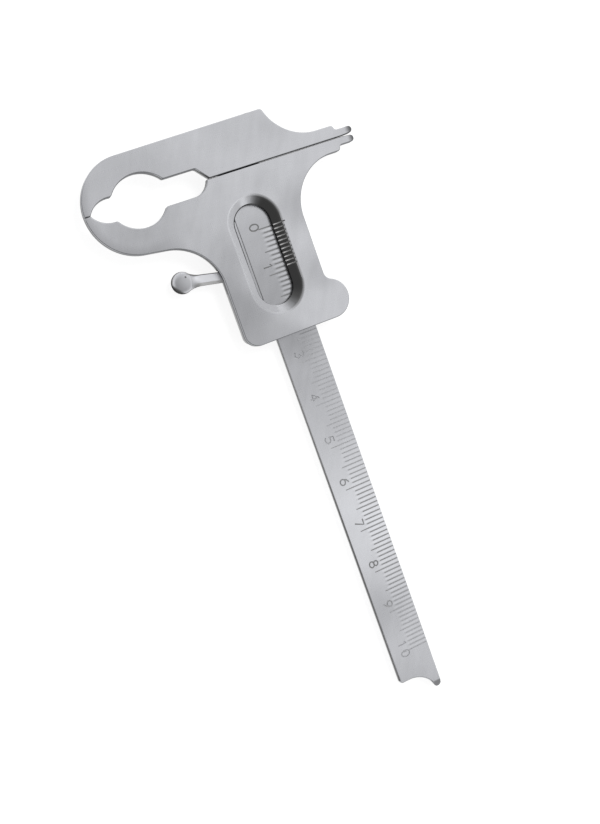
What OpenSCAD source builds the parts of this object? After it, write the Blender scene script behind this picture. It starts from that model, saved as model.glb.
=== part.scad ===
// Small sliding gauge of the kind used at a bench for crowns, springs and watch parts.
// It lies on its back plate. The origin is on that plate's outer face, on the beam's centre
// line and under the zero line of the scale. +Z is towards the graduated face, +Y towards the
// fixed jaw and +X towards the slim jaw tips. Jaws closed, lock lever free.

/* [Scale] */
// Length of the graduation, which is how far the sliding jaw travels
scale_len = 100; // [60:10:140]
// Width of an engraved line
tick_w = 0.2; // [0.08:0.01:0.3]
// Depth of an engraved line
tick_deep = 0.08; // [0.04:0.01:0.12]
// Length of the zero line, from the right edge of the beam
zero_line = 5.1; // [4.6:0.1:6]
// Length of a millimetre line
mm_line = 4.2; // [3:0.1:4.5]
// Length of a five millimetre line
half_line = 5.4; // [4.6:0.1:5.6]
// Length of a centimetre line
cm_line = 6.2; // [5.7:0.1:7]
// Divisions of the vernier
vernier_steps = 10; // [10:1:12]
// Width of a vernier line
vernier_w = 0.26; // [0.15:0.01:0.35]
// Depth of a vernier line
vernier_deep = 0.12; // [0.06:0.01:0.15]
// How far the vernier lines run on to the front face
vernier_over = 0.3; // [0.1:0.05:0.4]
// How far the vernier's zero line runs on to the front face
vernier_zero_over = 0.7; // [0.5:0.05:1.2]

/* [Beam] */
// Width of the beam
beam_w = 9.4; // [8.5:0.1:10.5]
// Thickness of the beam
beam_t = 1.6; // [1.4:0.1:2.2]
// Beam left past the last graduation line, at its short corner
beam_tail = 6.6; // [5:0.2:10]
// How far the horn reaches past the short corner
horn_len = 4.7; // [4.3:0.1:5.5]
// Radius of the horn's end
horn_r = 0.8; // [0.6:0.05:0.95]
// Radius of the hollow between the short corner and the horn
hollow_r = 5.8; // [5.5:0.1:6.2]
// Width of the flat left at the short corner
corner_flat = 0.75; // [0.5:0.05:1]
// Length of the bevel on the horn's face
horn_bevel = 1.7; // [1:0.1:2.5]
// Beam left under the top edge of the fixed jaw
beam_head_set = 1.6; // [1:0.1:3]

/* [Jaws] */
// Zero line to the line where the jaws meet
jaw_y = 13.1; // [11:0.1:16]
// Gap between the closed jaw faces
jaw_gap = 0.2; // [0.1:0.02:0.3]
// Gap between the closed claw tips
claw_gap = 0.06; // [0.04:0.02:0.2]
// Thickness of the fixed jaw
plate_t = 2.2; // [2:0.1:3]
// Left side of the sliding jaw to the outside of the claws
claw_out = 22.9; // [22.5:0.1:25]
// Radius of the fixed jaw's claw
claw_up_r = 10.1; // [9.9:0.1:10.6]
// Radius of the sliding jaw's claw
claw_low_r = 10.7; // [10.4:0.1:11.2]
// Rise of the fixed jaw's top edge from the claw to the corner over the slim tip
top_rise = 0.45; // [0:0.05:0.8]
// Height of the claws' large lobe over the meeting line
lobe_h = 5.5; // [5:0.1:5.9]
// Radius of the large lobe in the fixed jaw
lobe_up_r = 6.9; // [6.5:0.1:7.2]
// Radius of the large lobe in the sliding jaw
lobe_low_r = 6.3; // [6:0.1:6.6]
// Outside of the claws to the centre of the large lobe in the fixed jaw
lobe_up_x = 12.4; // [12:0.1:12.8]
// Outside of the claws to the centre of the large lobe in the sliding jaw
lobe_low_x = 11.6; // [11.2:0.1:12]
// Height of the small lobe at the claw tips
small_h = 2.5; // [2.2:0.1:2.8]
// Radius of the small lobe
small_r = 5; // [4.7:0.1:5.3]
// Outside of the claws to the centre of the small lobe
small_x = 5.7; // [5.4:0.1:6]
// Height of the straight lobe beside the beam
straight_h = 2.75; // [2.5:0.05:3]
// Left side of the sliding jaw to the end of the straight lobe in the fixed jaw
straight_up_in = 4.5; // [3.8:0.1:5]
// Left side of the sliding jaw to the end of the straight lobe in the sliding jaw
straight_low_in = 3.9; // [3.5:0.1:4.8]
// Slope of the straight lobe's end in the fixed jaw, in degrees
straight_slope = 49; // [45:1:60]
// Radius of the straight lobe's end in the sliding jaw
straight_end_r = 4; // [3.5:0.1:4.5]
// Radius on the points between the lobes
cusp_r = 0.7; // [0.4:0.1:0.9]

/* [Slim tips] */
// Right side of the sliding jaw to the end of the slim tips
tip_out = 16.95; // [15.5:0.25:20]
// How much further the fixed jaw's slim tip reaches
tip_more = 0.2; // [0:0.05:0.5]
// Width of one slim tip
tip_w = 1.6; // [1.4:0.05:2]
// How far a slim tip's inner side leans back at its end
tip_relief = 0.12; // [0.04:0.02:0.2]
// Length of the slim tips
tip_len = 3.1; // [2.5:0.1:4]
// Width of one jaw behind its slim tip
shoulder_w = 2.7; // [2.4:0.1:3.2]
// Length of the step from the shoulder down to the tip
step_len = 1.4; // [1.2:0.1:1.6]
// Radius of the hollow under the sliding jaw's tip
sweep_r = 10.85; // [10:0.25:12]
// Radius of the hollow over the fixed jaw's tip
head_sweep_r = 10.7; // [10:0.1:11.2]
// Right side of the sliding jaw to the fixed jaw's upper corner
head_corner_in = 1.2; // [0.5:0.1:2]
// Radius of the fixed jaw's upper corner
head_corner_r = 0.7; // [0.5:0.1:1]

/* [Sliding jaw] */
// Sliding jaw left of the beam
cheek_left = 7.2; // [7:0.1:9]
// Sliding jaw right of the beam
cheek_right = 4.9; // [4.8:0.1:7]
// Height of the sliding jaw below the meeting line
slider_h = 36.25; // [35:0.25:45]
// Radius of the lower left corner
corner_r = 3; // [2:0.25:4]
// Radius of the hollow between the claw and the left side
neck_r = 10.4; // [9.8:0.1:10.8]
// How far the claw's circle and the hollow's are apart
neck_run = 0.5; // [0.3:0.05:0.8]
// Radius of the thumb rest
thumb_r = 4.3; // [4:0.1:5]
// Centre of the thumb rest inside the right side
thumb_in = 0.35; // [0:0.05:1.5]
// Radius of the hollow over the thumb rest
thumb_fillet = 2; // [1.5:0.25:3]
// How far the guide block stands back from the sides
block_in = 0.6; // [0.4:0.05:1]
// Top of the guide block below the meeting line
block_drop = 5; // [4:0.5:7]
// Radius of the guide block's corners
block_r = 2; // [1:0.25:2.5]

/* [Window] */
// Width of the window at the front face
window_w = 11.7; // [11:0.1:12]
// Width of the bevel round the window
bevel_w = 1.75; // [1.4:0.05:2]
// Depth of that bevel
bevel_deep = 1.3; // [1:0.05:1.5]
// Zero line up to the centre of the window's upper end
window_top = 1.5; // [0:0.25:3]
// Distance between the centres of the window's ends
window_run = 13.9; // [12:0.5:16]
// Centre of the window left of the beam's centre line
window_left = 1.35; // [1:0.05:1.6]

/* [Guide] */
// Running clearance round the beam
run_gap = 0.05; // [0.03:0.01:0.08]
// Thickness of the back plate
back_t = 0.8; // [0.7:0.05:1.2]
// Length of the brake strip, which lies beside the beam
strip_len = 21.6; // [18:0.4:23]
// Width of the brake strip
strip_w = 0.7; // [0.5:0.05:0.9]
// Clearance round the strip
strip_gap = 0.03; // [0.02:0.01:0.05]

/* [Lock lever] */
// Zero line down to the lever's pivot
pivot_drop = 7.6; // [7:0.1:9]
// Radius of the lever's cam
cam_r = 2.3; // [2:0.05:2.45]
// Play over and under the lever's cam
cam_play = 0.1; // [0.05:0.01:0.15]
// How far the cam's centre is off the pivot
cam_throw = 0.25; // [0.15:0.05:0.3]
// Direction of that throw with the lever free, in degrees
cam_phase = -80; // [-90:5:-70]
// Gap from the cam to the strip with the lever locked
cam_gap = 0.03; // [0.02:0.01:0.05]
// Radius of the lever's hub, over the cam
hub_r = 1.6; // [1.4:0.05:1.7]
// Clearance between the lever and its pocket
lever_gap = 0.25; // [0.2:0.05:0.3]
// How far the lever swings to lock, in degrees
lever_swing = 35; // [25:5:40]
// Rise of the free lever over square to the beam, in degrees
lever_rise = 10.8; // [5:0.2:14]
// Pivot to the centre of the ball
lever_len = 12.35; // [11:0.25:16]
// Width of the lever's arm
arm_w = 2.3; // [1.9:0.1:2.4]
// Thickness of the lever's arm
arm_t = 1.9; // [1.6:0.1:2.1]
// Width of the long facet under the arm
arm_facet = 0.6; // [0.4:0.05:0.8]
// Radius of the ball
ball_r = 2.35; // [2.1:0.05:2.4]
// Gap under the ball when the gauge lies flat
ball_lift = 0.05; // [0.05:0.05:0.3]
// Length of the neck between arm and ball, from the ball's centre
neck_len = 4.1; // [3.6:0.1:4.8]
// Where the neck meets the ball, as an angle from the arm's line
neck_meet = 40; // [34:1:46]

/* [Fasteners] */
// Radius of the pivot screw's shank
pivot_r = 1; // [0.8:0.05:1.1]
// Radius of the pivot screw's threaded end
pivot_end_r = 0.8; // [0.6:0.05:0.8]
// Length of the pivot screw's threaded end
pivot_end_len = 0.55; // [0.4:0.05:0.65]
// Running clearance of the lever on its pivot screw
pivot_gap = 0.04; // [0.02:0.01:0.08]
// Radius of a plate screw
screw_r = 0.8; // [0.6:0.05:0.9]
// Radius of a plate screw's head
screw_head_r = 1.45; // [1.3:0.05:1.6]
// Length of a plate screw
screw_len = 3.4; // [2.8:0.1:3.5]
// Plate screws to the ends of the guide block
screw_inset = 3.1; // [2.6:0.1:4]
// Width of a screwdriver slot
slot_w = 0.35; // [0.25:0.05:0.5]
// Depth of a screwdriver slot
slot_deep = 0.3; // [0.2:0.05:0.35]
// Turn from one screw's slot to the next, in degrees
slot_turn = 38; // [0:2:90]
// Fitting clearance round a fastener
fit_gap = 0.02; // [0.01:0.01:0.04]
// How far a fastener's head lies below the surface
head_sink = 0.05; // [0.03:0.01:0.08]
// Radius of a rivet that holds the fixed jaw
rivet_r = 1.2; // [1:0.05:1.3]
// Radius of a rivet's head
rivet_head_r = 1.8; // [1.6:0.05:1.9]
// Depth of the rivets in the fixed jaw
rivet_bite = 1.4; // [1:0.1:1.6]
// Distance across the lower pair of rivets
rivet_across = 5; // [4.4:0.1:5.2]
// Height from the lower pair of rivets to the upper one
rivet_up = 4.4; // [3.8:0.1:4.6]
// Meeting line to the lower pair of rivets
rivet_y = 3; // [2.6:0.1:3.4]

/* [Hidden] */
$fn = 96;
// Turn between the points of a drawn arc, in degrees
arc_step = 4;
// How far a cut runs past what it cuts, and a hair of overlap
over = 1;
eps = 0.01;

// Heights
beam_z = back_t + run_gap;
beam_top = beam_z + beam_t;
slot_top = beam_top + run_gap;
front_z = beam_top + plate_t;
cam_z = back_t + cam_play;
cam_top = slot_top - cam_play;
arm_z = ball_lift + ball_r;
lever_top = arm_z + arm_t / 2;
lever_roof = lever_top + cam_play;

// Places across and along the beam
slot_half = beam_w / 2 + run_gap;
left_x = -(beam_w / 2 + cheek_left);
right_x = beam_w / 2 + cheek_right;
head_face = jaw_y + jaw_gap / 2;
slide_face = jaw_y - jaw_gap / 2;
head_top = jaw_y + claw_up_r + top_rise;
bottom_y = slide_face - slider_h;
claw_x = left_x - claw_out;
tip_x = right_x + tip_out;
block_left = left_x + block_in;
block_right = right_x - block_in;
block_top = jaw_y - block_drop;
block_bottom = bottom_y + block_in;
strip_wall = beam_w / 2 + 2 * strip_gap + strip_w;

// Lever and strip: the strip lies along the beam, and the cam stands behind it
strip_back = -(beam_w / 2 + strip_gap + strip_w);
cam_reach = cam_r + cam_throw * cos(cam_phase + lever_swing);
pivot = [strip_back - cam_gap - cam_reach, -pivot_drop];
lever_dir = 180 - lever_rise;
cam_c = pivot + cam_throw * turn(cam_phase);
pivot_head_r = pivot_r + back_t - head_sink;

function turn(a) = [cos(a), sin(a)];
function bearing(c, p) = atan2(p[1] - c[1], p[0] - c[0]);

// The same points below the meeting line, in reverse order
function turned(p) = [for (i = [len(p) - 1:-1:0]) [p[i][0], 2 * jaw_y - p[i][1]]];

// Points of an arc from one angle to another, counter-clockwise and clockwise
function arc(c, r, a, b) =
    let (span = (b - a) - 360 * floor((b - a) / 360), n = max(2, ceil(span / arc_step)))
    [for (i = [0:n]) c + r * turn(a + span * i / n)];
function back_arc(c, r, a, b) = let (p = arc(c, r, b, a)) [for (i = [len(p) - 1:-1:0]) p[i]];

// Where two circles cross, on the left of the line from the first to the second
function crossing(c1, r1, c2, r2) =
    let (d = c2 - c1, l = norm(d), u = d / l, a = (r1 * r1 - r2 * r2 + l * l) / (2 * l))
    c1 + a * u + sqrt(r1 * r1 - a * a) * [-u[1], u[0]];

// Half of the claws' opening, drawn over the meeting line, from the claw tip to the beam.
// The sliding jaw's half is the same thing with other radii, turned over.
function small_c() = [claw_x + small_x, jaw_y + small_h - small_r];
function big_c(x, r) = [claw_x + x, jaw_y + lobe_h - r];
function lobes(x, r) =
    let (s = small_c(), b = big_c(x, r), cut = 180 - asin((jaw_y + claw_gap / 2 - s[1]) / small_r),
         p = crossing(s, small_r + cusp_r, b, r + cusp_r),
         line_y = jaw_y + straight_h,
         q = [b[0] + sqrt(pow(r + cusp_r, 2) - pow(line_y + cusp_r - b[1], 2)), line_y + cusp_r])
    concat(back_arc(s, small_r, cut, bearing(s, p)),
           arc(p, cusp_r, bearing(p, s), bearing(p, b)),
           back_arc(b, r, bearing(b, p), bearing(b, q)),
           arc(q, cusp_r, bearing(q, b), 270));

// End of the straight lobe in the fixed jaw: a rounded corner and a slope down to the face
function slope_end() =
    let (end_x = left_x + straight_up_in,
         dx = (jaw_y + straight_h - head_face) / tan(straight_slope),
         back = cusp_r * tan(straight_slope / 2),
         c = [end_x - dx - back, jaw_y + straight_h - cusp_r])
    concat(back_arc(c, cusp_r, 90, 90 - straight_slope), [[end_x, head_face]]);

// The same end in the sliding jaw: one arc up to the face
function round_end() =
    let (end_x = left_x + straight_low_in,
         c_y = jaw_y - straight_h + straight_end_r,
         c = [end_x - sqrt(pow(straight_end_r, 2) - pow(slide_face - c_y, 2)), c_y])
    back_arc(c, straight_end_r, bearing(c, [end_x, slide_face]), -90);

// Slim tip and shoulder of the fixed jaw, from its face outwards and back to the shoulder.
// The tip's inner side leans back from the meeting line towards its end.
function tip(more) =
    let (f = head_face, r = (tip_w - tip_relief) / 2, rise = (shoulder_w - tip_w) / 2,
         run = step_len / 2, lift = (run * run + rise * rise) / (2 * rise),
         a = 2 * atan(rise / run), x0 = tip_x - tip_len)
    concat([[x0 + r, f]], arc([tip_x + more - r, f + tip_w - r], r, -90, 90),
           back_arc([x0, f + tip_w + lift], lift, 270, 270 - a),
           arc([x0 - step_len, f + shoulder_w - lift], lift, 90 - a, 90));

// Fixed jaw, seen from the front
module head_outline() {
    cy = head_face + shoulder_w + head_sweep_r;
    corner_x = right_x - head_corner_in;
    cx = corner_x + sqrt(pow(head_sweep_r, 2) - pow(cy - head_top, 2));
    sweep = [cx, cy];
    ry = head_top - head_corner_r;
    rc = [cx - sqrt(pow(head_sweep_r + head_corner_r, 2) - pow(cy - ry, 2)), ry];
    claw = [claw_x + claw_up_r, jaw_y];
    lean = atan(top_rise / (rc[0] - claw[0]));
    polygon(concat(lobes(lobe_up_x, lobe_up_r), slope_end(), tip(tip_more),
                   back_arc(sweep, head_sweep_r, 270, bearing(sweep, rc)),
                   arc(rc, head_corner_r, bearing(rc, sweep), 90 + lean),
                   arc(claw, claw_up_r, 90 + lean, 180 - asin(claw_gap / 2 / claw_up_r))));
}

// Sliding jaw, seen from the front
module slide_outline() {
    under = [right_x + sweep_r, slide_face - shoulder_w - sweep_r];
    thumb = [right_x - thumb_in, bottom_y + thumb_r];
    fx = right_x + thumb_fillet;
    fillet = [fx, thumb[1] + sqrt(pow(thumb_r + thumb_fillet, 2) - pow(fx - thumb[0], 2))];
    claw = [claw_x + claw_low_r, jaw_y];
    reach = claw_low_r + neck_r + neck_run;
    neck_x = left_x - neck_r;
    neck = [neck_x, jaw_y - sqrt(reach * reach - pow(neck_x - claw[0], 2))];
    slant = acos((claw_low_r + neck_r) / reach);
    down = bearing(claw, neck);
    polygon(concat(
        arc([left_x + corner_r, bottom_y + corner_r], corner_r, 180, 270),
        arc(thumb, thumb_r, -90, bearing(thumb, fillet)),
        back_arc(fillet, thumb_fillet, bearing(fillet, thumb), 180),
        back_arc(under, sweep_r, 180, 90),
        turned(tip(0)),
        round_end(),
        turned(lobes(lobe_low_x, lobe_low_r)),
        arc(claw, claw_low_r, 180 + asin(claw_gap / 2 / claw_low_r), down - slant),
        back_arc(neck, neck_r, down + 180 - slant, 0)));
}

module block_outline() {
    x = [block_left + block_r, block_right - block_r];
    y = [block_bottom + block_r, block_top - block_r];
    polygon(concat(arc([x[1], y[1]], block_r, 0, 90), arc([x[0], y[1]], block_r, 90, 180),
                   arc([x[0], y[0]], block_r, 180, 270), arc([x[1], y[0]], block_r, 270, 360)));
}

// Lower end of the beam: a short corner, a hollow and a horn
module beam_outline() {
    half = beam_w / 2;
    end_y = -(scale_len + beam_tail);
    tip_y = end_y - horn_len;
    horn = [half - horn_r, tip_y + horn_r];
    // The hollow touches the horn's end, and its top is level with the short corner
    hollow_y = end_y - hollow_r;
    gap = hollow_r + horn_r;
    hollow = [horn[0] - sqrt(gap * gap - pow(horn[1] - hollow_y, 2)), hollow_y];
    corner = [-half + corner_flat, end_y + corner_flat];
    polygon(concat([[half, head_top - beam_head_set], [-half, head_top - beam_head_set]],
                   arc(corner, corner_flat, 180, 270),
                   back_arc(hollow, hollow_r, 90, bearing(hollow, horn)),
                   arc(horn, horn_r, bearing(horn, hollow), 360)));
}

function line_len(i) =
    i == 0 ? zero_line : i % 10 == 0 ? cm_line : i % 5 == 0 ? half_line : mm_line;

module beam() {
    half = beam_w / 2;
    horn_top = -(scale_len + beam_tail + horn_len) + horn_bevel;
    color("silver") difference() {
        translate([0, 0, beam_z]) linear_extrude(beam_t) beam_outline();
        for (i = [0:scale_len])
            translate([half - line_len(i), -i - tick_w / 2, beam_top - tick_deep])
                cube([line_len(i) + over, tick_w, over]);
        // The horn's bevel goes half way down its end
        translate([0, horn_top, beam_top]) rotate([atan(beam_t / 2 / horn_bevel), 0, 0])
            translate([0, -2 * horn_bevel, 0]) cube([beam_w, 2 * horn_bevel, beam_t]);
        rivet_bodies(fit_gap);
    }
}

module fixed_jaw() {
    color("gainsboro") difference() {
        translate([0, 0, beam_top]) linear_extrude(plate_t) head_outline();
        rivet_bodies(fit_gap);
    }
}

// A rivet: a countersunk head at the beam's back and a shank up into the fixed jaw
module rivet_bodies(gap) {
    sink = rivet_head_r - rivet_r;
    low = gap > 0 ? eps : 0;
    for (p = [[-rivet_across / 2, rivet_y], [rivet_across / 2, rivet_y], [0, rivet_y + rivet_up]])
        translate([p[0], jaw_y + p[1], beam_z]) {
            translate([0, 0, -low])
                cylinder(r = rivet_r + gap, h = beam_t + rivet_bite + low + gap);
            translate([0, 0, -low])
                cylinder(r1 = rivet_head_r + gap + low, r2 = rivet_r + gap, h = sink + low);
        }
}

module head_rivets() {
    color("gray") rivet_bodies(0);
}

// The window: a slot through the plate, opened out by the bevel
module window_cut() {
    r = window_w / 2 - bevel_w;
    z0 = front_z - bevel_deep;
    low = slot_top - over;
    out = bevel_w * (bevel_deep + over) / bevel_deep;
    translate([-window_left, window_top, 0]) {
        for (y = [0, -window_run])
            translate([0, y, z0]) cylinder(r1 = r, r2 = r + out, h = bevel_deep + over);
        rotate([90, 0, 0]) linear_extrude(window_run)
            polygon([[-r, z0], [r, z0], [r + out, front_z + over], [-r - out, front_z + over]]);
        for (y = [0, -window_run])
            translate([0, y, low]) cylinder(r = r, h = z0 - low + eps);
        translate([-r, -window_run, low]) cube([2 * r, window_run, z0 - low + eps]);
    }
}

// Vernier lines down the bevel and a little on to the face
module vernier_lines() {
    pitch = (vernier_steps - 1) / vernier_steps;
    slant = norm([bevel_w, bevel_deep]);
    for (i = [0:vernier_steps])
        translate([window_w / 2 - window_left, -i * pitch - vernier_w / 2, front_z]) {
            past = i == 0 ? vernier_zero_over : vernier_over;
            translate([-over, 0, -vernier_deep]) cube([over + past, vernier_w, over]);
            rotate([0, -atan(bevel_deep / bevel_w), 0]) translate([-slant, 0, -vernier_deep])
                cube([slant, vernier_w, over]);
        }
}

// Room for the lever: circles for the cam and the hub, and the fan that the arm sweeps
module lever_pocket() {
    w = arm_w / 2 + lever_gap;
    free = turn(lever_dir);
    lock = turn(lever_dir + lever_swing);
    up = [free[1], -free[0]] * w;
    low = [-lock[1], lock[0]] * w;
    z = back_t - over;
    translate([pivot[0], pivot[1], z]) {
        cylinder(r = cam_r + cam_throw + lever_gap, h = slot_top - z);
        cylinder(r = hub_r + lever_gap, h = lever_roof - z);
        linear_extrude(lever_roof - z)
            polygon([up, up + free * lever_len, low + lock * lever_len, low]);
    }
}

function screw_places() =
    let (xl = (block_left - strip_wall) / 2, xr = (block_right + slot_half) / 2)
    [for (x = [xl, xr], y = [block_bottom + screw_inset, block_top - screw_inset]) [x, y]];

// A countersunk screw from the back, head at the bottom
module screw_body(head, shank, len, gap) {
    low = gap > 0 ? head_sink + eps : 0;
    translate([0, 0, head_sink - low])
        cylinder(r = shank + gap, h = len + low + gap);
    translate([0, 0, head_sink])
        cylinder(r1 = head + gap, r2 = shank + gap, h = head - shank);
    if (gap > 0) translate([0, 0, head_sink - low]) cylinder(r = head + gap, h = low);
}

module screw_bodies(gap) {
    for (p = screw_places())
        translate([p[0], p[1], 0]) screw_body(screw_head_r, screw_r, screw_len, gap);
}

module pivot_body(gap) {
    translate([pivot[0], pivot[1], 0]) {
        screw_body(pivot_head_r, pivot_r, lever_roof - head_sink - gap, gap);
        cylinder(r = pivot_end_r + gap, h = lever_roof + pivot_end_len + gap);
    }
}

module sliding_jaw() {
    color("gainsboro") difference() {
        union() {
            translate([0, 0, slot_top]) linear_extrude(front_z - slot_top) slide_outline();
            translate([0, 0, back_t]) linear_extrude(slot_top - back_t + eps) block_outline();
        }
        // Channel for the beam
        translate([-slot_half, bottom_y - over, back_t - over])
            cube([2 * slot_half, slider_h + 2 * over, slot_top - back_t + over]);
        // Pocket for the brake strip
        translate([-strip_wall, -pivot_drop - strip_len / 2 - strip_gap, back_t - over])
            cube([strip_wall, strip_len + 2 * strip_gap, slot_top - back_t + over]);
        window_cut();
        vernier_lines();
        lever_pocket();
        screw_bodies(fit_gap);
        pivot_body(fit_gap);
    }
}

module back_plate() {
    color("silver") difference() {
        linear_extrude(back_t) block_outline();
        screw_bodies(fit_gap);
        pivot_body(fit_gap);
    }
}

// Screwdriver slot across a head of radius r
module slot_cut(p, r, a) {
    translate([p[0], p[1], head_sink]) rotate([0, 0, a]) translate([-r, -slot_w / 2, -over])
        cube([2 * r, slot_w, slot_deep + over]);
}

module plate_screws() {
    places = screw_places();
    color("gray") difference() {
        screw_bodies(0);
        for (i = [0:len(places) - 1]) slot_cut(places[i], screw_head_r, slot_turn * (i + 1));
    }
}

// A flat strip between the beam's left edge and the cam, flush with the beam's face
module brake_strip() {
    z = back_t + strip_gap;
    color("silver") translate([strip_back, -pivot_drop - strip_len / 2, z])
        cube([strip_w, strip_len, beam_top - z]);
}

// The cam is a round plate off the pivot's centre, under the hub that carries the arm
module lock_lever() {
    neck_end = ball_r * sin(neck_meet);
    neck_run = neck_len - ball_r * cos(neck_meet);
    color("silver") difference() {
        union() {
            translate([cam_c[0], cam_c[1], cam_z]) cylinder(r = cam_r, h = cam_top - cam_z);
            translate([pivot[0], pivot[1], cam_z]) cylinder(r = hub_r, h = lever_top - cam_z);
            translate([pivot[0], pivot[1], arm_z]) rotate([0, 0, lever_dir]) {
                arm_bar(lever_len - neck_len + neck_run / 2);
                translate([lever_len, 0, 0]) sphere(r = ball_r);
                translate([lever_len - neck_len, 0, 0]) rotate([0, 90, 0])
                    cylinder(r1 = arm_t / 2, r2 = neck_end, h = neck_run);
            }
        }
        translate([pivot[0], pivot[1], 0]) cylinder(r = pivot_r + pivot_gap, h = front_z);
    }
}

// Arm section: flat above and below, with a long facet on the side away from the jaws
module arm_bar(len) {
    w = arm_w / 2;
    t = arm_t / 2;
    f = arm_facet;
    b = arm_facet / 3;
    rotate([90, 0, 90]) linear_extrude(len)
        polygon([[-w, t - b], [-w + b, t], [w - f, t], [w, t - f],
                 [w, -t + f], [w - f, -t], [-w + b, -t], [-w, -t + b]]);
}

module pivot_screw() {
    color("gray") difference() {
        pivot_body(0);
        slot_cut(pivot, pivot_head_r, 2 * slot_turn);
    }
}

beam();
fixed_jaw();
head_rivets();
sliding_jaw();
back_plate();
plate_screws();
brake_strip();
lock_lever();
pivot_screw();
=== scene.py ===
import math

import bmesh
import bpy
from mathutils import Matrix, Vector


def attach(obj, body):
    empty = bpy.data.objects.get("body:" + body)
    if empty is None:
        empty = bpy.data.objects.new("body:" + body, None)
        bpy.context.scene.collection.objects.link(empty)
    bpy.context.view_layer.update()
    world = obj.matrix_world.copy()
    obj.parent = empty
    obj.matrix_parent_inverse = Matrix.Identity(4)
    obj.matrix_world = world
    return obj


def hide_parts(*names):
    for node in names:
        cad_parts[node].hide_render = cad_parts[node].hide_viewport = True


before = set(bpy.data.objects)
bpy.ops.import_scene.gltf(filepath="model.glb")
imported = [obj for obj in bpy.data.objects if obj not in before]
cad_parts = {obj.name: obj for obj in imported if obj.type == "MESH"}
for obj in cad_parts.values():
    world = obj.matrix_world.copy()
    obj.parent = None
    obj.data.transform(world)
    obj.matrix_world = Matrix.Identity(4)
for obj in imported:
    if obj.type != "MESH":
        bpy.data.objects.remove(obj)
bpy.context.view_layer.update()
millimetre = 0.001
sameSpot = 0.000002  # metres between corners that are one corner
sameHeight = 0.004  # millimetres between heights that are one height
sameFace = 0.6  # degrees between faces that are one flat face
flatUp = 0.99  # how far up or down the normal of a flat face points at least
hairFade, narrowFade = 0.03, 0.05  # millimetres over which a painted edge fades


class Wire:  # a socket that takes arithmetic
    def __init__(self, bench, socket):
        self.bench = bench
        self.socket = socket

    def maths(self, operation, *values):
        return self.bench.add("ShaderNodeMath", {"operation": operation}, dict(enumerate(values)))

    def __add__(self, other):
        return self.maths("ADD", self, other)

    def __sub__(self, other):
        return self.maths("SUBTRACT", self, other)

    def __rsub__(self, other):
        return self.maths("SUBTRACT", other, self)

    def __mul__(self, other):
        return self.maths("MULTIPLY", self, other)

    __radd__ = __add__
    __rmul__ = __mul__

    def size(self):
        return self.maths("ABSOLUTE", self)

    def over(self, other):  # the larger of the two
        return self.maths("MAXIMUM", self, other)

    def fromStep(self, step):  # how far it is from the nearest whole step
        return self.maths("PINGPONG", self, step / 2)

    def ramp(self, low, high):  # 0 below low, 1 above high and a soft rise between
        return self.bench.add(
            "ShaderNodeMapRange",
            {"interpolation_type": "SMOOTHSTEP"},
            {"Value": self, "From Min": low, "From Max": high},
        )

    def within(self, low, high, soft):  # 1 between low and high
        return self.ramp(low - soft, low) * (1 - self.ramp(high, high + soft))


class Bench:  # the nodes of one finish
    def __init__(self, tree):
        self.tree = tree
        tree.nodes.clear()

    def add(self, kind, settings=None, sockets=None, output=0):
        node = self.tree.nodes.new(kind)
        for name, value in (settings or {}).items():
            setattr(node, name, value)
        for name, value in (sockets or {}).items():
            if isinstance(value, Wire):
                self.tree.links.new(value.socket, node.inputs[name])
            else:
                node.inputs[name].default_value = value
        return Wire(self, node.outputs[output]) if node.outputs else None

    def blend(self, factor, first, second, clamped=True):  # two colours
        settings = {"data_type": "RGBA", "clamp_factor": clamped}
        return self.add("ShaderNodeMix", settings, {0: factor, 6: first, 7: second}, output=2)

    def axes(self, vector, unit=1.0):
        split = self.add("ShaderNodeSeparateXYZ", None, {0: vector})
        return [Wire(self, socket) * (1 / unit) for socket in split.socket.node.outputs]


def grey(level, tint=0.0):  # a cool grey, opaque
    return (level * (1 - tint / 4), level, level * (1 + tint), 1.0)


def grain(bench, place, turn, length, width, detail=2.0):
    # fine lines of one length and width that run in one direction
    laid = bench.add(
        "ShaderNodeMapping",
        {"vector_type": "TEXTURE"},
        {
            "Vector": place,
            "Rotation": (0, 0, math.radians(turn)),
            "Scale": (length * millimetre, width * millimetre, width * millimetre),
        },
    )
    return bench.add("ShaderNodeTexNoise", None, {"Vector": laid, "Scale": 1.0, "Detail": detail})


def cloud(bench, place, across, detail=3.0):
    scale = 1 / (across * millimetre)
    return bench.add("ShaderNodeTexNoise", None, {"Vector": place, "Scale": scale, "Detail": detail})


def apartFrom(bench, place, spot):
    # millimetres from a spot
    return bench.add(
        "ShaderNodeVectorMath", {"operation": "DISTANCE"},
        {0: place, 1: Vector(spot) * millimetre}, output="Value",
    ) * (1 / millimetre)


def flattened(bench, place):  # the same place at the height of the floor
    return bench.add("ShaderNodeVectorMath", {"operation": "MULTIPLY"}, {0: place, 1: (1, 1, 0)})


def toward(bench, normal, direction):
    # how far a normal, or a ray, points in a direction
    axis = Vector(direction).normalized()
    return bench.add(
        "ShaderNodeVectorMath", {"operation": "DOT_PRODUCT"}, {0: normal, 1: axis}, output="Value"
    )


def patch(bench, place, x, y, radius, depth):
    # a soft round spot painted lighter or darker: painted light where the depth is above nought,
    # painted shade where it is below
    return (1 - apartFrom(bench, flattened(bench, place), (x, y, 0)).ramp(0, radius)) * depth


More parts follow.
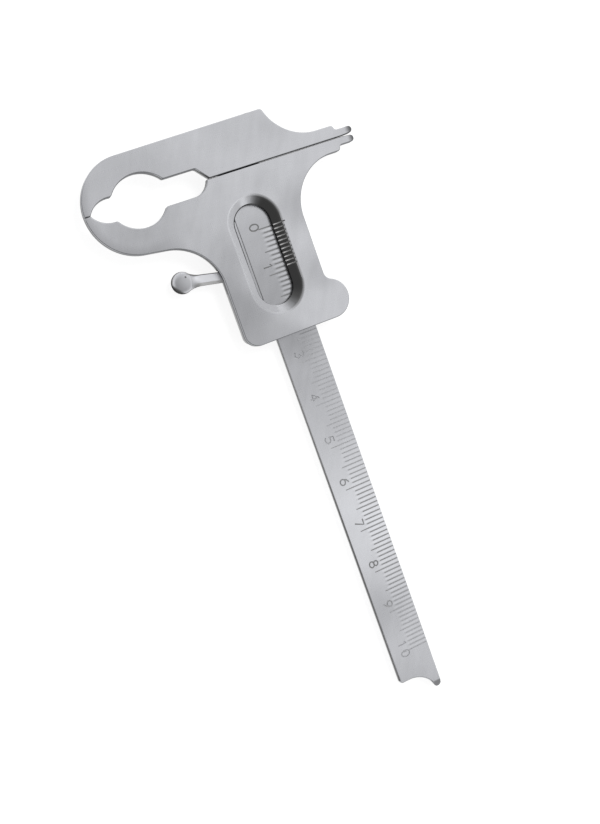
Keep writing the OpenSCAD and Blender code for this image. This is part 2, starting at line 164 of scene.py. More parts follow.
def steel(name, look, shade=None, layers=()):
    # Ground steel: two crossed grains, soft clouds of tone, round spots of painted light and painted
    # shade, and walls painted dark near the top and light near the foot, painted shade and a painted
    # reflection of the floor.
    # Layers come on top of it, each of them a mask, its colour and how much of the bare metal it
    # replaces
    material = bpy.data.materials.new(name)
    material.use_nodes = True
    bench = Bench(material.node_tree)
    place = bench.add("ShaderNodeTexCoord", output="Object")
    normal = bench.add("ShaderNodeNewGeometry", output="Normal")
    up = bench.axes(normal)[2].size()
    z = bench.axes(place, millimetre)[2]
    wall = 1 - up.ramp(*look["wallFade"])
    flat = up.ramp(*look["flatFade"])
    edge = (1 - wall) * (1 - up.ramp(*look["edgeFade"]))
    long = grain(bench, place, look["turn"], look["grainLength"], look["grainWidth"])
    cross = grain(
        bench, place, look["turn"] + 90,
        look["grainLength"] * look["crossLength"], look["grainWidth"] * look["crossWidth"],
    )
    soft = cloud(bench, place, look["cloud"])
    smear = grain(bench, place, look["smearTurn"], look["smearLength"], look["smearWidth"], 1.0)
    tone = (soft - 0.5) * look["cloudDepth"] + (smear - 0.5) * look["smearDepth"]
    # round spots of painted light and painted shade
    for spot in look["lightAndShadePatches"]:
        tone = tone + patch(bench, place, *spot)
    tone = tone * flat
    if shade:
        tone = tone + shade(bench, place)
    fine = ((long - 0.5) + (cross - 0.5) * look["crossShare"]) * flat
    light = 0.5 + tone + fine * look["grainDepth"]
    dark, bright = grey(look["dark"], look["tint"]), grey(look["light"], look["tint"])
    colour = bench.blend(light, dark, bright, clamped=False)
    # painted shade and painted reflection: walls dark near the top and lighter towards the foot
    wallTone = bench.blend(z.ramp(*look["wallTop"]), grey(look["wallLow"]), grey(look["wall"]))
    colour = bench.blend(wall, colour, wallTone)
    roughness = look["rough"] + fine * look["roughDepth"]
    roughness = roughness + wall * look["wallRough"] - edge * look["edgeShine"]
    metal = look["metal"]
    for layer in layers:
        mask, over, painted = layer(bench, place, normal, up)
        colour = bench.blend(mask, colour, over)
        roughness = roughness + mask * (look["paintRough"] * painted)
        metal = metal - mask * (painted * look["metal"])
    relief = bench.add(
        "ShaderNodeBump",
        None,
        {"Height": fine, "Strength": look["relief"], "Distance": look["grainWidth"] * millimetre},
    )
    shader = bench.add(
        "ShaderNodeBsdfPrincipled",
        None,
        {
            "Base Color": colour, "Metallic": metal, "Roughness": roughness, "Normal": relief,
            "Specular Tint": grey(look["rimShine"]),
        },
    )
    bench.add("ShaderNodeOutputMaterial", None, {"Surface": shader})
    print("finish", name)
    return material


satin = {
    "turn": 0, "grainLength": 9, "grainWidth": 0.07, "grainDepth": 0.35,
    "crossLength": 0.6, "crossWidth": 1.3, "crossShare": 0.6,
    "cloud": 9, "cloudDepth": 0.9, "lightAndShadePatches": (),
    "smearTurn": 62, "smearLength": 8, "smearWidth": 1.6, "smearDepth": 0.5,
    "dark": 0.56, "light": 0.72, "tint": 0.045, "flatFade": (0.8, 0.97), "edgeFade": (0.9, 0.995),
    # wall, wallLow and wallTop: walls painted dark near the top and light near the foot, painted shade
    # and a painted reflection of the floor
    "wall": 0.08, "wallLow": 0.6, "wallTop": (2.9, 4.2), "wallFade": (0.03, 0.45),
    "metal": 1.0, "rimShine": 0.65, "rough": 0.29, "roughDepth": 0.1, "wallRough": 0.08,
    "edgeShine": 0.08, "paintRough": 0.3, "relief": 0.12,
}


scaleLook = {
    "step": 1, "halfBeam": 4.6, "cutZ": (2.3, 2.41), "cutY": (-104, 2.5), "cutSoft": 0.5,
    "faintTone": 0.56, "faintTint": 0.04, "filledTone": 0.27,
    "strongY": -71, "strongFade": (3, 24), "windowFade": (-22, -14), "strong": 0.9, "least": 0.12,
    "shoulder": (0.06, 0.42), "shoulderX": (-0.4, 0.6), "shoulderEnd": 0.1, "shoulderZ": (2, 2.2),
    "linesY": (-100.2, 0.2), "linesSoft": 0.2, "faintAndEndShade": 0.45, "endShadeFade": (-86, -78),
    "shade": 1.3, "shine": 0.8, "shineX": (1, 2.6), "shineY": (-20, -14),
}


def lineStrength(y):
    # the lines are strongest near 70 mm and under the sliding jaw, and fainter elsewhere
    strong = 1 - (y - scaleLook["strongY"]).size().ramp(*scaleLook["strongFade"])
    return (strong + y.ramp(*scaleLook["windowFade"])) * scaleLook["strong"] + scaleLook["least"]


def lineShade(bench, place):
    # painted light and painted shade on the lines' shoulders: darker at each line and brighter between,
    # most of all in the window, with a painted highlight there, and stronger towards the beam's end
    x, y, z = bench.axes(place, millimetre)
    edge = scaleLook["halfBeam"]
    wave = y.fromStep(scaleLook["step"]).ramp(*scaleLook["shoulder"]) - 0.5
    faintAndEndShade = (1 - y.ramp(*scaleLook["endShadeFade"])) * scaleLook["faintAndEndShade"]
    along = x.ramp(*scaleLook["shoulderX"]) * (1 - x.ramp(edge - scaleLook["shoulderEnd"], edge))
    shine = y.ramp(*scaleLook["shineY"]) * x.ramp(*scaleLook["shineX"]) * scaleLook["shine"]
    marked = y.within(*scaleLook["linesY"], scaleLook["linesSoft"]) * z.ramp(*scaleLook["shoulderZ"])
    return wave * along * (lineStrength(y) + faintAndEndShade) * marked * (scaleLook["shade"] + shine)


def scaleLines(bench, place, normal, up):
    # floors and sides of the engraved lines and numbers
    x, y, z = bench.axes(place, millimetre)
    edge = scaleLook["halfBeam"]
    cut = z.within(*scaleLook["cutZ"], hairFade) * (1 - x.size().ramp(edge, edge + narrowFade))
    cut = cut * y.within(*scaleLook["cutY"], scaleLook["cutSoft"])
    faintAndEndShade = grey(scaleLook["faintTone"], scaleLook["faintTint"])
    return cut, bench.blend(lineStrength(y), faintAndEndShade, grey(scaleLook["filledTone"])), 1.0


leverLook = {
    "front": (-0.13, -0.13, 1), "crown": (0.5, 0.86), "crownX": (-18.6, -17), "crownTone": 0.45,
    "shadeSide": (-0.75, -0.63, -0.15), "shade": (0.55, 0.82), "shadeX": (-19, -17.5),
    "shadeTone": 0.09, "edge": (0.1, 0.42), "edgeTone": 0.04,
    "under": (-0.19, -0.98, 0), "underFade": (0.3, 0.7), "underX": (-18.6, -17), "underTone": 0.6,
    "over": (0.19, 0.98, 0), "overFade": (0.45, 0.7), "overX": (-19.5, -18), "overTone": 0.2,
    "neck": (-17.6, -6.8, 2.9), "neckRadius": (0.2, 1.6), "neckTone": 0.15, "neckDepth": 0.6,
    "centre": (-19.44, -4.415, 4.48), "centreRadius": (0.156, 0.26), "centreTone": 0.08,
}


def ballCrown(bench, place, normal, up):
    # the ball's crown is duller than its rim and than the arm, and painted a matt mid-grey that stands
    # in for its reflection, a painted reflection
    x = bench.axes(place, millimetre)[0]
    front = toward(bench, normal, leverLook["front"]).ramp(*leverLook["crown"])
    return front * (1 - x.ramp(*leverLook["crownX"])), grey(leverLook["crownTone"], satin["tint"]), 0.9


def ballShade(bench, place, normal, up):
    # painted shade: the dark crescent on the side of the ball that faces the shaded floor
    x = bench.axes(place, millimetre)[0]
    side = toward(bench, normal, leverLook["shadeSide"]).ramp(*leverLook["shade"])
    return side * (1 - x.ramp(*leverLook["shadeX"])), grey(leverLook["shadeTone"]), 0.9


def neckShade(bench, place, normal, up):
    # the hollow between ball and arm, on the arm's lower side
    hollow = 1 - apartFrom(bench, place, leverLook["neck"]).ramp(*leverLook["neckRadius"])
    return hollow * leverLook["neckDepth"], grey(leverLook["neckTone"]), 0.6


def leverEdge(bench, place, normal, up):
    # painted shade on the lever's upright sides
    return 1 - up.ramp(*leverLook["edge"]), grey(leverLook["edgeTone"]), 1.0


def armUnderside(bench, place, normal, up):
    # the facet between the arm's face and its lower side is painted a little darker, a painted shade,
    # and is duller
    x = bench.axes(place, millimetre)[0]
    facet = toward(bench, normal, leverLook["under"]).ramp(*leverLook["underFade"])
    return facet * x.ramp(*leverLook["underX"]), grey(leverLook["underTone"]), 0.3


def armUpperside(bench, place, normal, up):
    # and the one along its upper side is painted dark, a painted shade
    x = bench.axes(place, millimetre)[0]
    facet = toward(bench, normal, leverLook["over"]).ramp(*leverLook["overFade"])
    return facet * x.ramp(*leverLook["overX"]), grey(leverLook["overTone"]), 0.6


def centreMark(bench, place, normal, up):
    # a small dark dot painted on the ball's crown, a painted reflection of the camera's lens
    mark = 1 - apartFrom(bench, place, leverLook["centre"]).ramp(*leverLook["centreRadius"])
    return mark, grey(leverLook["centreTone"]), 1.0


window = {
    "rimX": 4.5, "rimZ": 4.65, "footX": 2.75, "footZ": 3.35, "slopeUp": (0.7, 0.88),
    "insideX": (-7.6, 4.9), "insideY": (-18.6, 7.7), "insideZ": (3, 3.2),
    "lineUnder": (0.1, 0.17), "lineY": (-9.2, 0.15), "lineZ": (3.5, 4.0),
    "lineTone": 0.95, "lineFar": 0.45, "endsX": 5.3, "endsZ": (4.5, 4.56), "endsTone": 0.05,
    "brightX": (-3.6, -2.2), "brightZ": (3.5, 4.45), "brightSoft": 0.15, "brightTone": 0.56,
    "footLineX": (-1, 1.5), "footLineY": (-11, -4), "footLineZ": (3.35, 3.49), "footTone": 0.03,
    "middleX": -1.35, "endY": (-12.4, 1.5), "rimShadeBand": (5.8, 6.0), "rimShadeSoft": 0.4,
    "rimShadeX": (0, 4), "rimShadeZ": (4.2, 4.4), "rimShadeTone": 0.2, "rimShadeDepth": 0.65,
    "darkReflectionSide": (-0.995, -0.05, 0), "darkReflectionFade": (-0.06, 0.44), "darkReflectionZ": (3.3, 3.36),
    "darkReflectionTone": 0.11, "wallX": (-5.7, 3), "wallY": (-16.8, 5.9), "wallZ": (3.36, 3.4),
    "wallUp": (0.2, 0.4), "wallTone": 0.03,
}


def onSlope(up):  # the window's slope is the one face this steep
    return up.within(*window["slopeUp"], narrowFade)


def inBox(x, y, rangeX, rangeY):
    return x.within(*rangeX, narrowFade) * y.within(*rangeY, narrowFade)


def vernierLines(bench, place, normal, up):
    # floors of the vernier's lines lie under the slope on the window's right
    x, y, z = bench.axes(place, millimetre)
    fall = (window["rimZ"] - window["footZ"]) / (window["rimX"] - window["footX"])
    under = (window["rimZ"] - (window["rimX"] - x) * fall) - z
    cut = under.within(*window["lineUnder"], hairFade) * y.within(*window["lineY"], narrowFade)
    # the floors are painted bright near the foot and darker towards the rim, a painted highlight
    tone = bench.blend(z.ramp(*window["lineZ"]), grey(window["lineTone"]), grey(window["lineFar"]))
    return cut * x.within(window["footX"], window["rimX"], hairFade), tone, 0.8


def vernierEnds(bench, place, normal, up):
    # where those lines run out on the face their floors are dark
    x, y, z = bench.axes(place, millimetre)
    ends = x.within(window["rimX"], window["endsX"], narrowFade) * z.within(*window["endsZ"], hairFade)
    return ends, grey(window["endsTone"]), 1.0


def brightSlope(bench, place, normal, up):
    # painted light: the foot of the slope on the window's left is painted bright, a painted reflection
    # of the studio's bright side
    x, y, z = bench.axes(place, millimetre)
    slope = onSlope(up) * z.within(*window["brightZ"], window["brightSoft"])
    return slope * (1 - x.ramp(*window["brightX"])), grey(window["brightTone"], satin["tint"]), 0.75


def footLine(bench, place, normal, up):
    # a painted shadow line along the foot of the slope, at the window's left and top
    x, y, z = bench.axes(place, millimetre)
    foot = onSlope(up) * z.within(*window["footLineZ"], hairFade)
    foot = foot * (1 - x.ramp(*window["footLineX"])) * y.ramp(*window["footLineY"])
    return foot, grey(window["footTone"]), 0.6


def windowHaze(bench, place, normal, up):
    # painted shade: a soft dark band along the rim on the window's right
    x, y, z = bench.axes(place, millimetre)
    across = x - window["middleX"]
    along = (y - window["endY"][1]).over(window["endY"][0] - y).over(0)
    offset = bench.add("ShaderNodeCombineXYZ", None, {0: across, 1: along})
    apart = bench.add("ShaderNodeVectorMath", {"operation": "LENGTH"}, {0: offset}, output="Value")
    band = apart.within(*window["rimShadeBand"], window["rimShadeSoft"]) * across.ramp(*window["rimShadeX"])
    return band * z.ramp(*window["rimShadeZ"]) * window["rimShadeDepth"], grey(window["rimShadeTone"]), 0.0


def dullSlope(bench, place, normal, up):
    # painted reflection: the slope on the window's right, and round its ends, is painted dark where it
    # would mirror the studio's dark corner
    x, y, z = bench.axes(place, millimetre)
    slope = onSlope(up) * z.ramp(*window["darkReflectionZ"]) * inBox(x, y, window["insideX"], window["insideY"])
    side = toward(bench, normal, window["darkReflectionSide"]).ramp(*window["darkReflectionFade"])
    return slope * side, grey(window["darkReflectionTone"]), 0.0


def windowWall(bench, place, normal, up):
    # the upright wall below the window's slope stays in the dark
    x, y, z = bench.axes(place, millimetre)
    wall = (1 - up.ramp(*window["wallUp"])) * (1 - z.ramp(*window["wallZ"]))
    return inBox(x, y, window["wallX"], window["wallY"]) * wall, grey(window["wallTone"]), 0.0


rim = {"side": (0.62, -0.78, 0), "fade": (0.05, 0.4), "tone": 0.2, "flat": (0.86, 0.985)}
horn = {"tone": 0.26, "startY": (-109.9, -109.3), "insideX": (1.2, 1.8), "up": (0.2, 0.4)}
tips = {"tone": 0.12, "endX": (24.9, 26.4), "depth": 0.95}
claw = {
    "centre": (-24.4, 13.1), "ring": (8.2, 10.6), "side": (-7, 0), "lean": 0.8, "depth": 0.5,
    "tone": 0.35,
}


def darkRim(bench, place, normal, up):
    # painted shade on rounded edges that face down and right, but for the window's
    x, y, z = bench.axes(place, millimetre)
    inside = inBox(x, y, window["insideX"], window["insideY"]) * z.ramp(*window["insideZ"])
    side = toward(bench, normal, rim["side"]).ramp(*rim["fade"])
    return (1 - up.ramp(*rim["flat"])) * side * (1 - inside), grey(rim["tone"], satin["tint"]), 0.0


def hornSlope(bench, place, normal, up):
    # painted shade on the slope at the end of the beam's longer horn
    x, y, z = bench.axes(place, millimetre)
    end = (1 - y.ramp(*horn["startY"])) * x.ramp(*horn["insideX"])
    return end * up.ramp(*horn["up"]), grey(horn["tone"], satin["tint"]), 0.3


def tipEnds(bench, place, normal, up):
    # the measuring tips darken towards their ends
    x = bench.axes(place, millimetre)[0]
    return x.ramp(*tips["endX"]) * tips["depth"], grey(tips["tone"], satin["tint"]), 0.3


def clawHaze(bench, place, normal, up):
    # painted shade: the face darkens towards the claw's round outline, as a broadly rounded edge would
    x, y, z = bench.axes(place, millimetre)
    middleX, middleY = claw["centre"]
    apart = apartFrom(bench, flattened(bench, place), (middleX, middleY, 0))
    lower = 1 - ((x - middleX) + (y - middleY) * claw["lean"]).ramp(*claw["side"])
    return apart.ramp(*claw["ring"]) * lower * claw["depth"], grey(claw["tone"], satin["tint"]), 0.0


finishes = {
    "beam_steel": steel(
        "satin beam steel",
        satin | {
            "turn": 90, "grainLength": 14, "wallTop": (1.5, 2.1), "wall": 0.16,
            # painted shade under the sliding jaw and towards the beam's end, and painted light near 68
            # mm: x, y, radius and depth
            "lightAndShadePatches": (
                (-1, -16, 30, -1.15), (0, -26, 7, -0.55), (0, -36, 10, -0.4), (0, -46, 8, -0.25),
                (0, -68, 26, 1.0), (-3, -88, 11, -0.55), (-3, -108, 9, -0.5),
            ),
        },
        lineShade, (scaleLines, darkRim, hornSlope),
    ),
    "jaw_steel": steel(
        "satin jaw steel",
        satin | {
            # round spots of painted light and painted shade on the jaws: x, y, radius and depth
            "lightAndShadePatches": (
                (-11, -14, 10, -0.9), (-22, 6, 13, -0.5), (-28, 8, 8, -0.2), (-9, -4, 8, -0.7),
                (-4, -20, 6, 0.5), (10, 2, 8, -0.85), (9, -12, 7, -0.8), (-21, 17, 10, -0.25),
                (9, 19, 7, -0.4), (3, 9, 5, -0.4),
            ),
        },
        None,
        (
            dullSlope, vernierLines, vernierEnds, brightSlope, footLine, windowHaze,
            windowWall, darkRim, tipEnds, clawHaze,
        ),
    ),
    "plate_steel": steel("ground plate steel", satin | {"turn": 35, "light": 0.58, "dark": 0.46}),
    "lever_steel": steel(
        "polished lever steel",
        satin | {
            "dark": 0.74, "light": 0.88, "rough": 0.4, "grainDepth": 0.2, "roughDepth": 0.05,
            "relief": 0.05, "wall": 0.13, "wallFade": (0.12, 0.55), "metal": 0.5, "cloudDepth": 0.4,
        },
        None, (ballCrown, armUnderside, armUpperside, neckShade, ballShade, leverEdge, centreMark),
    ),
    "fastener_steel": steel(
        "turned fastener steel", satin | {"dark": 0.4, "light": 0.52, "rough": 0.24, "turn": 60}
    ),
}


def mergedCopy(node, joined=True):
    # a CAD node with its doubled corners merged, and its flat faces joined
    shape = bmesh.new()
    shape.from_mesh(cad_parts[node].data)
    bmesh.ops.remove_doubles(shape, verts=shape.verts, dist=sameSpot)
    if joined:
        bmesh.ops.dissolve_limit(
            shape, angle_limit=math.radians(sameFace), verts=shape.verts, edges=shape.edges,
            delimit=set(),
        )
    return shape


def heightsOf(face):
    heights = [corner.co.z / millimetre for corner in face.verts]
    return min(heights), max(heights)


def rimEdges(shape, height, wallTo=None, steep=30):
    # sharp edges that lie at one height, and whose wall reaches another height
    found = []
    for edge in shape.edges:
        if len(edge.link_faces) != 2 or not edge.is_convex:
            continue
        if any(abs(corner.co.z / millimetre - height) > sameHeight for corner in edge.verts):
            continue
        if edge.calc_face_angle() < math.radians(steep):
            continue
        walls = [face for face in edge.link_faces if abs(face.normal.z) < flatUp]
        if wallTo is not None and not any(
            abs(level - wallTo) < sameHeight for face in walls for level in heightsOf(face)
        ):
            continue
        found.append(edge)
    return found


def ease(shape, edges, width, segments):
    bmesh.ops.bevel(
        shape, geom=edges, offset=width * millimetre, offset_type="OFFSET", segments=segments,
        profile=0.5, affect="EDGES", clamp_overlap=False, material=-1, loop_slide=True,
    )


def roundWeighed(piece, widest, segments):
    step = piece.modifiers.new("rounding", "BEVEL")
    step.limit_method = "WEIGHT"
    step.offset_type = "OFFSET"
    step.width = widest * millimetre
    step.segments = segments
    step.profile = 0.5
    step.use_clamp_overlap = False


def shadeByAngle(shape, mesh, sharp=34):
    # smooth faces that meet in sharp edges, written to the mesh
    for face in shape.faces:
        face.smooth = True
    for edge in shape.edges:
        edge.smooth = len(edge.link_faces) == 2 and edge.calc_face_angle() < math.radians(sharp)
    shape.to_mesh(mesh)
    shape.free()


def meshPiece(name, shape, slot):
    mesh = bpy.data.meshes.new(name)
    shadeByAngle(shape, mesh)
    for spare in ("custom_normal", "UVMap"):
        if spare in mesh.attributes:
            mesh.attributes.remove(mesh.attributes[spare])
    mesh.materials.append(finishes[slot])
    piece = bpy.data.objects.new(name, mesh)
    bpy.context.scene.collection.objects.link(piece)
    return piece


def finishPiece(piece, body, slot, *nodes):
    even = piece.modifiers.new("even shading", "WEIGHTED_NORMAL")
    even.keep_sharp = True
    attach(piece, body)
    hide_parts(*nodes)
    print("piece", piece.name, len(piece.data.polygons), "faces")


def cutFrom(piece, tool):
    # takes the tool's shape out of the piece for good
    step = piece.modifiers.new("cut", "BOOLEAN")
    step.object = tool
    step.operation = "DIFFERENCE"
    step.solver = "EXACT"
    bpy.context.view_layer.update()
    cut = bpy.data.meshes.new_from_object(piece.evaluated_get(bpy.context.evaluated_depsgraph_get()))
    piece.modifiers.clear()
    shape = bmesh.new()
    shape.from_mesh(cut)
    shadeByAngle(shape, cut)
    piece.data = cut
    bpy.data.objects.remove(tool)


jaws = {
    "top": 4.65, "outline": 0.24, "window": 0.2, "contact": 0.2, "under": 0.45, "segments": 4,
    "contactY": (12.9, 13.3), "windowX": (-7.3, 4.6), "windowY": (-18.4, 7.5),
    "vernierX": (2.5, 5.5), "vernierY": (-9.8, 0.8), "fixedBack": 2.45, "slidingBack": 2.5,
}


def liesIn(point, rangeX, rangeY):
    return rangeX[0] < point.x < rangeX[1] and rangeY[0] < point.y < rangeY[1]


def jawEdgeWidth(edge):
    # wide along the outline, narrow where the jaws meet and round the window, none at the vernier
    ends = [corner.co / millimetre for corner in edge.verts]
    if any(liesIn(end, jaws["vernierX"], jaws["vernierY"]) for end in ends):
        return 0
    if all(jaws["contactY"][0] < end.y < jaws["contactY"][1] for end in ends):
        return jaws["contact"]
    if liesIn((ends[0] + ends[1]) / 2, jaws["windowX"], jaws["windowY"]):
        return jaws["window"]
    return jaws["outline"]


def makeJaw(name, node, body, back):
    shape = mergedCopy(node)
    weight = shape.edges.layers.float.new("bevel_weight_edge")
    for edge in rimEdges(shape, jaws["top"]):
        edge[weight] = jawEdgeWidth(edge) / jaws["outline"]
    for edge in rimEdges(shape, back, jaws["top"]):
        edge[weight] = jaws["under"] / jaws["outline"]
    piece = meshPiece(name, shape, "jaw_steel")
    roundWeighed(piece, jaws["outline"], jaws["segments"])
    finishPiece(piece, body, "jaw_steel", node)


# Strokes of the numbers in a box one wide and one high, in layers that are cut one after another,
# as no stroke crosses another of its layer: lists of corners, or arcs as centre, half width, half
# height and the angles of their ends
numberStrokes = {
    "0": ([(0.5, 0.5, 0.48, 0.5, 0, 360)], []),
    "1": ([[(0.2, 0.78), (0.52, 1.0), (0.52, 0.0)]], []),
    "2": ([(0.5, 0.73, 0.45, 0.27, 170, -40)], [[(0.88, 0.62), (0.02, 0.0), (0.98, 0.0)]]),
    "3": ([(0.46, 0.75, 0.42, 0.25, 150, -90)], [(0.46, 0.25, 0.48, 0.25, 90, -150)]),
    "4": ([[(0.72, 0.0), (0.72, 1.0)]], [[(0.78, 1.04), (0.02, 0.3), (1.0, 0.3)]]),
    "5": ([[(0.9, 1.0), (0.2, 1.0), (0.12, 0.5)]], [(0.46, 0.31, 0.5, 0.31, 140, -150)]),
    "6": ([(0.5, 0.3, 0.46, 0.3, 0, 360)], [[(0.03, 0.3), (0.3, 0.78), (0.75, 1.0)]]),
    "7": ([[(0.04, 1.0), (0.96, 1.0), (0.36, 0.0)]], []),
    "8": ([(0.5, 0.77, 0.38, 0.25, 0, 360)], [(0.5, 0.27, 0.47, 0.28, 0, 360)]),
    "9": ([(0.5, 0.7, 0.46, 0.3, 0, 360)], [[(0.97, 0.7), (0.7, 0.22), (0.25, 0.0)]]),
}
numbers = {
    "high": 2.0, "wide": 1.45, "middleX": -1.2, "before": 1.9, "zeroBefore": 0.7, "apart": 2.3,
    "step": 10, "last": 10, "lineRadius": 0.15, "face": 2.45, "arcPoints": 18,
    "roundness": 1,
}


def strokePoints(stroke):
    if isinstance(stroke, list):
        return stroke, False
    middleX, middleY, halfWide, halfHigh, start, end = stroke
    closed = abs(end - start) == 360
    count = numbers["arcPoints"]
    steps = range(count if closed else count + 1)
    turns = [math.radians(start + (end - start) * step / count) for step in steps]
    return [(middleX + halfWide * math.cos(a), middleY + halfHigh * math.sin(a)) for a in turns], closed


def drawDigit(curve, digit, layer, alongBeam):
    # a digit's top is towards the lines, and it reads away from the jaws
    for stroke in numberStrokes[digit][layer]:
        points, closed = strokePoints(stroke)
        line = curve.splines.new("POLY")
        line.points.add(len(points) - 1)
        line.use_cyclic_u = closed
        for point, (across, high) in zip(line.points, points):
            x = numbers["middleX"] + (high - 0.5) * numbers["high"]
            y = alongBeam - (across - 0.5) * numbers["wide"]
            point.co = (x * millimetre, y * millimetre, numbers["face"] * millimetre, 1)


def numberTool(layer):
    # round strokes, half sunk in the beam's face
    curve = bpy.data.curves.new("number strokes", "CURVE")
    curve.dimensions = "3D"
    curve.bevel_depth = numbers["lineRadius"] * millimetre
    curve.bevel_resolution = numbers["roundness"]
    curve.use_fill_caps = True
    drawDigit(curve, "0", layer, numbers["zeroBefore"])
    for count in range(1, numbers["last"] + 1):
        for place, digit in enumerate(str(count)):
            alongBeam = numbers["before"] - count * numbers["step"] - place * numbers["apart"]
            drawDigit(curve, digit, layer, alongBeam)
    drawn = bpy.data.objects.new("number strokes", curve)
    bpy.context.scene.collection.objects.link(drawn)
    bpy.context.view_layer.update()
    mesh = bpy.data.meshes.new_from_object(drawn)
    bpy.data.objects.remove(drawn)
    tool = bpy.data.objects.new("number tool", mesh)
    bpy.context.scene.collection.objects.link(tool)
    return tool


beamShape = {
    "top": 2.45, "back": 0.85, "endY": -104, "endEase": 0.3, "endSegments": 4,
    "ease": 0.12, "easeSegments": 2, "under": 0.5, "underSegments": 4, "underSteep": 60,
}


def beamRim(shape, below=math.inf):
    # edges round the beam's face, all of them or those below a place along it
    found = rimEdges(shape, beamShape["top"], wallTo=beamShape["back"])
    limit = below * millimetre
    return [edge for edge in found if all(corner.co.y < limit for corner in edge.verts)]


def makeBeam():
    shape = mergedCopy("beam")
    ease(shape, beamRim(shape, beamShape["endY"]), beamShape["endEase"], beamShape["endSegments"])
    ease(shape, beamRim(shape), beamShape["ease"], beamShape["easeSegments"])
    back = rimEdges(shape, beamShape["back"], steep=beamShape["underSteep"])
    ease(shape, back, beamShape["under"], beamShape["underSegments"])
    piece = meshPiece("beam_engraved", shape, "beam_steel")
    for layer in (0, 1):
        cutFrom(piece, numberTool(layer))
    finishPiece(piece, "beam_and_head", "beam_steel", "beam")


lever = {
    "pivot": (-7.936777, -7.6), "height": 2.4, "turn": 169.2, "ball": 12.35, "ballRadius": 2.349,
    "keep": 6.0, "halfWide": 1.15, "halfHigh": 0.95, "cuts": 4, "rings": 28, "turns": 56,
}
# Along the lever: place, half width, half height and how round the section is
leverNeck = (
    (8.4, 1.2, 0.95, 0.0), (8.8, 1.23, 0.97, 0.15), (9.2, 1.29, 1.01, 0.4), (9.6, 1.37, 1.1, 0.65),
    (10.0, 1.48, 1.26, 0.85), (10.4, 1.63, 1.48, 1.0), (10.8, 1.8, 1.72, 1.0), (11.15, 1.96, 1.93, 1.0),
)


def leverPlace():
    x, y = lever["pivot"]
    spot = Matrix.Translation(Vector((x, y, lever["height"])) * millimetre)
    return spot @ Matrix.Rotation(math.radians(lever["turn"]), 4, "Z")


def growNeck(shape, loop):
    # the arm's end is drawn out in steps that widen and grow round, into the ball
    lastWide, lastHigh = lever["halfWide"], lever["halfHigh"]
    for place, wide, high, roundness in leverNeck:
        grown = bmesh.ops.extrude_edge_only(shape, edges=loop)["geom"]
        corners = [item for item in grown if isinstance(item, bmesh.types.BMVert)]
        edges = [item for item in grown if isinstance(item, bmesh.types.BMEdge)]
        loop = [edge for edge in edges if edge.is_boundary]
        for corner in corners:
            across = corner.co.y / (lastWide * millimetre)
            up = corner.co.z / (lastHigh * millimetre)
            around = math.hypot(across, up)
            across += (across / around - across) * roundness
            up += (up / around - up) * roundness
            corner.co = Vector((place, across * wide, up * high)) * millimetre
        lastWide, lastHigh = wide, high
    bmesh.ops.contextual_create(shape, geom=loop)


def makeLever():
    # the cam, hub and arm's root stay as they are
    shape = mergedCopy("lock_lever", joined=False)
    shape.transform(leverPlace().inverted())
    everything = list(shape.verts) + list(shape.edges) + list(shape.faces)
    cut = bmesh.ops.bisect_plane(
        shape, geom=everything, plane_co=(lever["keep"] * millimetre, 0, 0), plane_no=(1, 0, 0),
        clear_outer=True,
    )
    loop = [item for item in cut["geom_cut"] if isinstance(item, bmesh.types.BMEdge)]
    bmesh.ops.subdivide_edges(shape, edges=loop, cuts=lever["cuts"])
    growNeck(shape, [edge for edge in shape.edges if edge.is_boundary])
    ball = bmesh.new()
    bmesh.ops.create_uvsphere(
        ball, u_segments=lever["turns"], v_segments=lever["rings"],
        radius=lever["ballRadius"] * millimetre,
        matrix=Matrix.Translation((lever["ball"] * millimetre, 0, 0)),
    )
    spare = bpy.data.meshes.new("ball")
    ball.to_mesh(spare)
    ball.free()
    shape.from_mesh(spare)
    bpy.data.meshes.remove(spare)
    shape.transform(leverPlace())
    bmesh.ops.recalc_face_normals(shape, faces=shape.faces)
    finishPiece(meshPiece("ball_lever", shape, "lever_steel"), "lever", "lever_steel", "lock_lever")


makeJaw("fixed_jaw_eased", "fixed_jaw", "beam_and_head", jaws["fixedBack"])
makeJaw("sliding_jaw_eased", "sliding_jaw", "slider", jaws["slidingBack"])
makeBeam()
makeLever()

shownAsPacked = {
    "back_plate": "plate_steel", "plate_screws": "fastener_steel", "pivot_screw": "fastener_steel",
    "head_rivets": "fastener_steel", "brake_strip": "beam_steel",
}
for node, slot in shownAsPacked.items():
    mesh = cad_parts[node].data
    mesh.materials.clear()
    mesh.materials.append(finishes[slot])


studio = {
    "dimSide": 0.68, "brightSide": 0.28, "side": (0.05, 0.45), "horizon": (0.13, 0.25),
    "dark": (-0.85, -0.35, 0.4), "darkFade": (0.25, 0.75), "darkLoss": 0.5,
    "floor": 3.0, "floorTone": 0.3, "floorLift": 0.84,
    "lampPlace": (0.28, 0.2, 0.5), "lampSize": 0.3, "lampPower": 1.2,
}


def makeWorld():
    # white at the horizon, and above it brighter on one side, with a dark corner on the other
    world = bpy.data.worlds.new("studio")
    bpy.context.scene.world = world
    world.use_nodes = True
    bench = Bench(world.node_tree)
    direction = bench.add("ShaderNodeTexCoord", output="Generated")
    side, _, height = bench.axes(direction)
    upper = studio["dimSide"] + side.ramp(*studio["side"]) * studio["brightSide"]
    lift = height.ramp(*studio["horizon"])
    dark = toward(bench, direction, studio["dark"]).ramp(*studio["darkFade"])
    dark = dark * studio["darkLoss"] * lift
    level = (lift * upper + (1 - lift)) * (1 - dark)
    backdrop = bench.add("ShaderNodeBackground", None, {"Color": grey(1.0), "Strength": level})
    bench.add("ShaderNodeOutputWorld", None, {"Surface": backdrop})


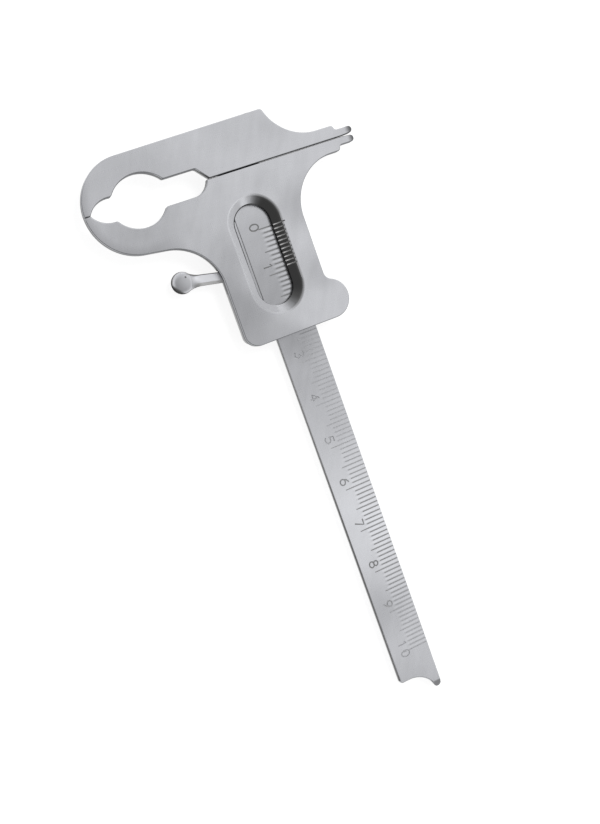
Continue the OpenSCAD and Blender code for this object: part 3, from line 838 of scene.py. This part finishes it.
def makeFloor():
    # white paper that takes the gauge's shadow
    shape = bmesh.new()
    bmesh.ops.create_grid(shape, x_segments=1, y_segments=1, size=studio["floor"] / 2)
    mesh = bpy.data.meshes.new("floor")
    shape.to_mesh(mesh)
    shape.free()
    floor = bpy.data.objects.new("floor", mesh)
    bpy.context.scene.collection.objects.link(floor)
    paper = bpy.data.materials.new("white paper")
    paper.use_nodes = True
    bench = Bench(paper.node_tree)
    rays = "ShaderNodeLightPath"
    seen = bench.add(rays, output="Is Camera Ray") + bench.add(rays, output="Is Glossy Ray")
    seen = (seen + bench.add(rays, output="Is Transmission Ray")).ramp(0, 1)
    matt = bench.add("ShaderNodeBsdfDiffuse", None, {"Color": grey(studio["floorTone"])})
    glow = bench.add(
        "ShaderNodeEmission", None, {"Color": grey(1.0), "Strength": seen * studio["floorLift"]}
    )
    both = bench.add("ShaderNodeAddShader", None, {0: matt, 1: glow})
    bench.add("ShaderNodeOutputMaterial", None, {"Surface": both})
    mesh.materials.append(paper)


def placeLamp():
    lamp = bpy.data.lights.new("soft lamp", "AREA")
    lamp.shape = "DISK"
    lamp.size = studio["lampSize"]
    lamp.energy = studio["lampPower"]
    holder = bpy.data.objects.new("soft lamp", lamp)
    holder.location = studio["lampPlace"]
    holder.rotation_euler = (-Vector(studio["lampPlace"])).to_track_quat("-Z", "Y").to_euler()
    holder.visible_glossy = False
    bpy.context.scene.collection.objects.link(holder)


camera = {
    "place": (-65.80, -10.73, 205.30),
    "right": (0.88891, -0.33474, 0.31272),
    "down": (-0.36046, -0.93240, 0.02656),
    "forward": (0.28269, -0.13633, -0.94947),
    "focal": 980, "imageHeight": 824, "filmHeight": 24, "nearest": 5,
}


def placeCamera():
    lens = bpy.data.cameras.new("camera")
    lens.sensor_fit = "VERTICAL"
    lens.sensor_height = camera["filmHeight"]
    lens.lens = camera["focal"] / camera["imageHeight"] * camera["filmHeight"]
    lens.clip_start = camera["nearest"] * millimetre
    eye = bpy.data.objects.new("camera", lens)
    bpy.context.scene.collection.objects.link(eye)
    right, down, forward = (Vector(camera[name]) for name in ("right", "down", "forward"))
    turn = Matrix((right, -down, -forward)).transposed()
    eye.matrix_world = Matrix.Translation(Vector(camera["place"]) * millimetre) @ turn.to_4x4()
    bpy.context.scene.camera = eye
    print("camera")


makeWorld()
makeFloor()
placeLamp()
print("studio")
placeCamera()
bpy.context.scene.view_settings.view_transform = "Standard"
